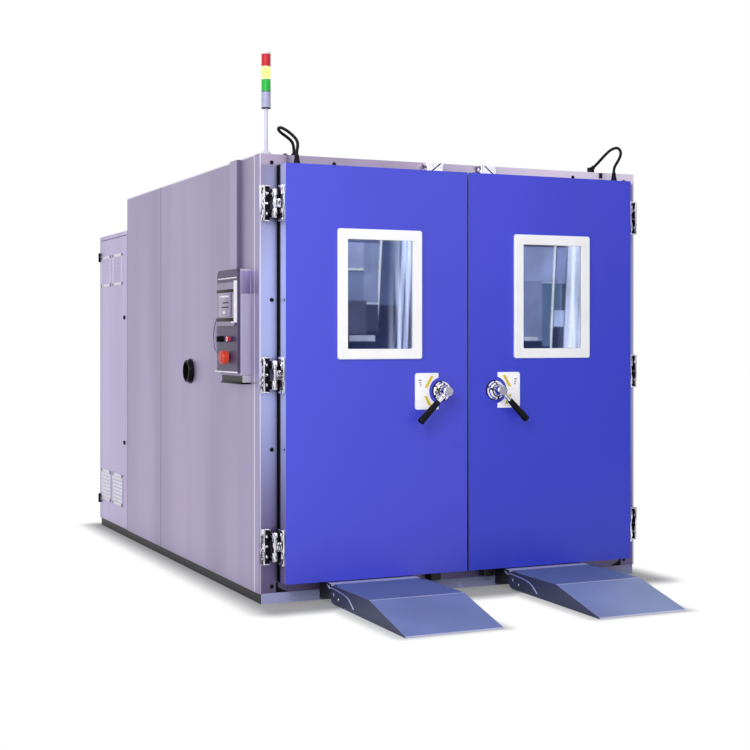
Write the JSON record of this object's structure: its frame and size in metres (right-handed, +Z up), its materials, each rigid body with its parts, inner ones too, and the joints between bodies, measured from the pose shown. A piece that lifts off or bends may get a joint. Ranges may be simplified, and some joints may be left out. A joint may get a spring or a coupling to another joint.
{
  "type": "environmental test chamber",
  "caption": "Walk-in environmental test chamber with windowed swing doors, rack-driven door bolts, a side control box, a signal tower, trolley ramps and a rear machine compartment.",
  "frame": {"origin": "on the floor under the centre of the insulated cabinet", "axes": "+Z up, +Y from the doors towards the machine compartment, +X to the right seen from the doors"},
  "size_m": [2.253, 4.145, 2.65],
  "materials": {
    "stainless_steel": "brushed stainless sheet, satin",
    "door_blue": "smooth blue powder coat, semi-gloss",
    "white_frame": "smooth white, semi-gloss",
    "window_glass": "clear insulating glass",
    "bright_chrome": "bright plated die casting",
    "turned_steel": "turned and milled steel",
    "black_plastic": "fine-textured black",
    "seal_rubber": "black silicone",
    "cable_sheath": "black flexible sheath",
    "slate_panel": "dark slate paint, satin",
    "screen_glass": "glossy display with a dark border",
    "red_plastic": "glossy red button",
    "grey_plastic": "moulded grey plastic",
    "green_lens": "ribbed translucent green",
    "amber_lens": "ribbed translucent amber",
    "red_lens": "ribbed translucent red",
    "ramp_steel": "bent steel sheet, blue-grey satin",
    "frame_paint": "blue-grey machine enamel",
    "fin_aluminium": "mill-finish fins",
    "motor_paint": "dark grey motor enamel"
  },
  "bodies": {
    "root": {"base_frame": "frame_paint", "floor_panel": "stainless_steel", "left_wall": "stainless_steel", "right_wall": "stainless_steel", "rear_wall": "stainless_steel", "roof_panel": "stainless_steel", "door_frame": "stainless_steel", "hinge_brackets": "bright_chrome", "bolt_keepers": "bright_chrome", "cable_port": "black_plastic", "cable_cover": "stainless_steel", "control_box": "stainless_steel", "control_fascia": "slate_panel", "touch_screen": "screen_glass", "tower_stand": "grey_plastic", "green_lens": "green_lens", "amber_lens": "amber_lens", "red_lens": "red_lens", "roof_glands": "black_plastic", "left_door_cable": "cable_sheath", "right_door_cable": "cable_sheath", "machine_cover": "stainless_steel", "air_duct_panel": "stainless_steel", "evaporator_coil": "fin_aluminium", "fan_motors": "motor_paint", "condenser_coil": "fin_aluminium", "compressors": "motor_paint"},
    "left_door": {"left_door_skin": "door_blue", "left_door_body": "stainless_steel", "left_door_gasket": "seal_rubber", "left_window_frame": "white_frame", "left_window_glass": "window_glass", "left_hinge_leaves": "bright_chrome", "left_handle_base": "bright_chrome"},
    "left_handle": {"left_handle_lever": "bright_chrome", "left_handle_grip": "black_plastic", "left_lock_spindle": "turned_steel"},
    "left_upper_bolt": {"left_upper_bolt": "turned_steel"},
    "left_lower_bolt": {"left_lower_bolt": "turned_steel"},
    "left_ramp": {"left_ramp": "ramp_steel"},
    "right_door": {"right_door_skin": "door_blue", "right_door_body": "stainless_steel", "right_door_gasket": "seal_rubber", "right_window_frame": "white_frame", "right_window_glass": "window_glass", "right_hinge_leaves": "bright_chrome", "right_handle_base": "bright_chrome"},
    "right_handle": {"right_handle_lever": "bright_chrome", "right_handle_grip": "black_plastic", "right_lock_spindle": "turned_steel"},
    "right_upper_bolt": {"right_upper_bolt": "turned_steel"},
    "right_lower_bolt": {"right_lower_bolt": "turned_steel"},
    "right_ramp": {"right_ramp": "ramp_steel"},
    "access_door": {"access_door": "stainless_steel"},
    "lower_panel_latch": {"lower_panel_latch": "black_plastic"},
    "upper_panel_latch": {"upper_panel_latch": "black_plastic"},
    "power_switch": {"power_switch": "black_plastic"},
    "emergency_stop": {"emergency_stop": "red_plastic"},
    "circulation_fan": {"circulation_fan": "fin_aluminium"},
    "condenser_fan": {"condenser_fan": "black_plastic"}
  },
  "joints": [
    {"name": "left_door_swing", "type": "hinge", "parent": "root", "child": "left_door", "pos_m": [-1.008, -1.275, 1.1], "axis": [0, 0, -1], "range_deg": [0, 110]},
    {"name": "left_handle_turn", "type": "hinge", "parent": "left_door", "child": "left_handle", "pos_m": [-0.152, -1.3995, 1.007], "axis": [0, 1, 0], "range_deg": [0, 90]},
    {"name": "left_upper_bolt_slide", "type": "slide", "parent": "left_door", "child": "left_upper_bolt", "axis": [0, 0, 1], "range_m": [0, 0.0401]},
    {"name": "left_lower_bolt_slide", "type": "slide", "parent": "left_door", "child": "left_lower_bolt", "axis": [0, 0, -1], "range_m": [0, 0.0401]},
    {"name": "left_ramp_fold", "type": "hinge", "parent": "root", "child": "left_ramp", "pos_m": [-0.526, -1.415, 0.054], "axis": [-1, 0, 0], "range_deg": [0, 85]},
    {"name": "right_door_swing", "type": "hinge", "parent": "root", "child": "right_door", "pos_m": [1.008, -1.275, 1.1], "axis": [0, 0, 1], "range_deg": [0, 110]},
    {"name": "right_handle_turn", "type": "hinge", "parent": "right_door", "child": "right_handle", "pos_m": [0.152, -1.3995, 1.007], "axis": [0, -1, 0], "range_deg": [0, 90]},
    {"name": "right_upper_bolt_slide", "type": "slide", "parent": "right_door", "child": "right_upper_bolt", "axis": [0, 0, 1], "range_m": [0, 0.0401]},
    {"name": "right_lower_bolt_slide", "type": "slide", "parent": "right_door", "child": "right_lower_bolt", "axis": [0, 0, -1], "range_m": [0, 0.0401]},
    {"name": "right_ramp_fold", "type": "hinge", "parent": "root", "child": "right_ramp", "pos_m": [0.448, -1.415, 0.054], "axis": [-1, 0, 0], "range_deg": [0, 85]},
    {"name": "access_door_swing", "type": "hinge", "parent": "root", "child": "access_door", "pos_m": [-1.08, 1.92, 1], "axis": [0, 0, -1], "range_deg": [0, 110]},
    {"name": "lower_panel_latch_turn", "type": "hinge", "parent": "access_door", "child": "lower_panel_latch", "pos_m": [-1.07, 1.293, 0.601], "axis": [-1, 0, 0], "range_deg": [0, 90]},
    {"name": "upper_panel_latch_turn", "type": "hinge", "parent": "access_door", "child": "upper_panel_latch", "pos_m": [-1.07, 1.293, 1.399], "axis": [-1, 0, 0], "range_deg": [0, 90]},
    {"name": "power_switch_turn", "type": "hinge", "parent": "root", "child": "power_switch", "pos_m": [-1.137, -0.883, 1.265], "axis": [1, 0, 0], "range_deg": [0, 90]},
    {"name": "emergency_stop_push", "type": "slide", "parent": "root", "child": "emergency_stop", "axis": [1, 0, 0], "range_m": [0, 0.008], "stiffness_N_per_m": 1500},
    {"name": "circulation_fan_spin", "type": "hinge", "parent": "root", "child": "circulation_fan", "pos_m": [0, 1, 1.7], "axis": [0, 1, 0], "continuous": true},
    {"name": "condenser_fan_spin", "type": "hinge", "parent": "root", "child": "condenser_fan", "pos_m": [0, 1.87, 1.2], "axis": [0, 1, 0], "continuous": true}
  ],
  "couplings": [
    {"joint": "left_upper_bolt_slide", "follows": "left_handle_turn", "m_per_rad": 0.025465},
    {"joint": "left_lower_bolt_slide", "follows": "left_handle_turn", "m_per_rad": 0.025465},
    {"joint": "right_upper_bolt_slide", "follows": "right_handle_turn", "m_per_rad": 0.025465},
    {"joint": "right_lower_bolt_slide", "follows": "right_handle_turn", "m_per_rad": 0.025465}
  ]
}
